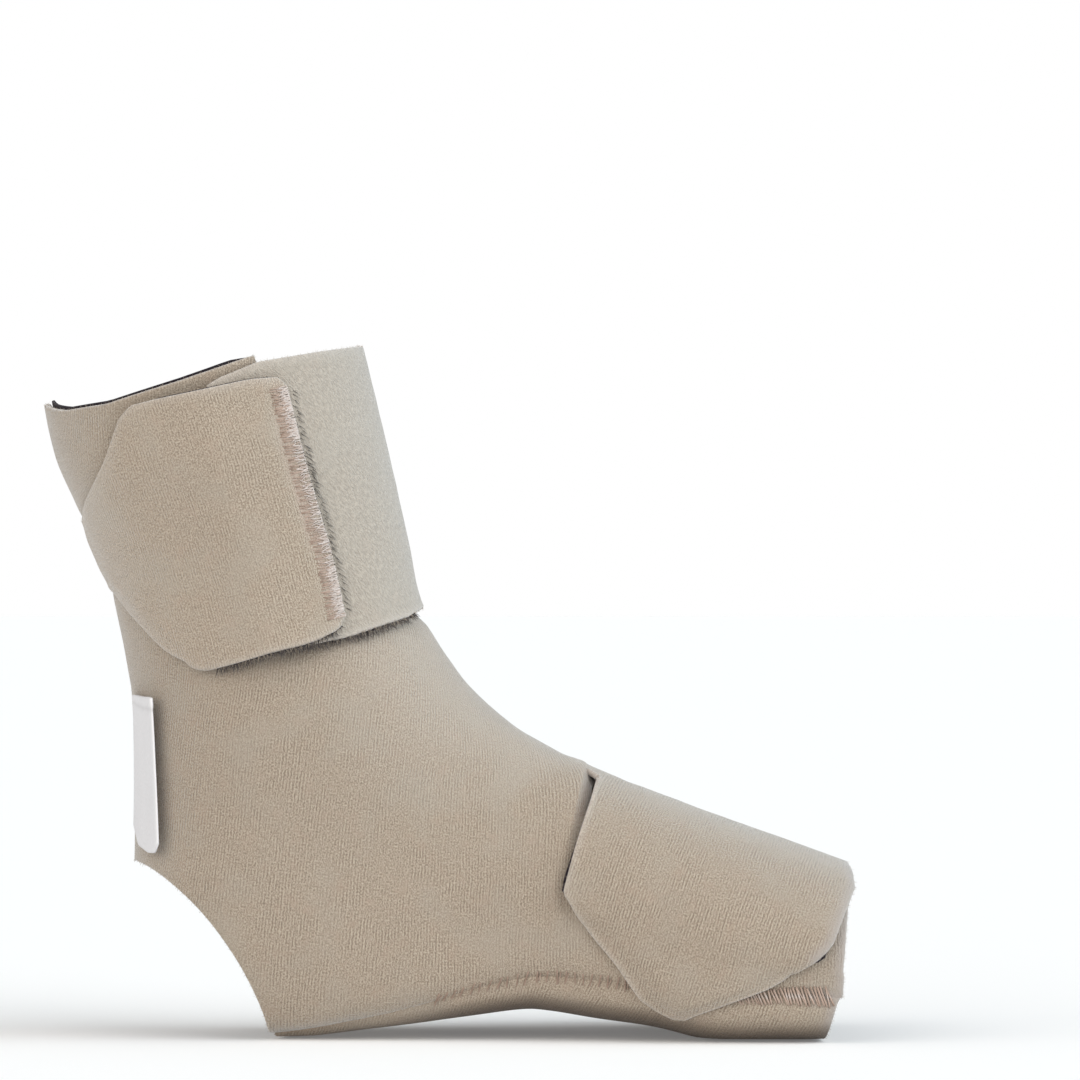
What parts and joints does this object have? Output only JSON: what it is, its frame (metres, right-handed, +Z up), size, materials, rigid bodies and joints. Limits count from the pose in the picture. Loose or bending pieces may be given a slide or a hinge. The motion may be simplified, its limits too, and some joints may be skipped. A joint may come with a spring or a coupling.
{
  "type": "foot compression sleeve",
  "caption": "Open-heel, open-toe foot and ankle wrap in beige plush foam, with a broad ankle strap and tab and a pointed forefoot strap.",
  "frame": {"origin": "centre of the bounding box, on the floor under the sole", "axes": "+X towards the toes, +Y towards the outer side of the left foot, +Z up from the floor"},
  "size_m": [0.2304, 0.104, 0.1949],
  "materials": {
    "plush": "matte brushed loop knit, warm beige",
    "lining": "matte dark knit",
    "label": "white satin ribbon"
  },
  "bodies": {
    "root": {"upper_panel": "plush", "upper_lining": "lining", "sole_panel": "plush", "sole_lining": "lining", "ankle_strap": "plush", "ankle_tab": "plush", "forefoot_strap": "plush", "label": "label"}
  },
  "joints": []
}
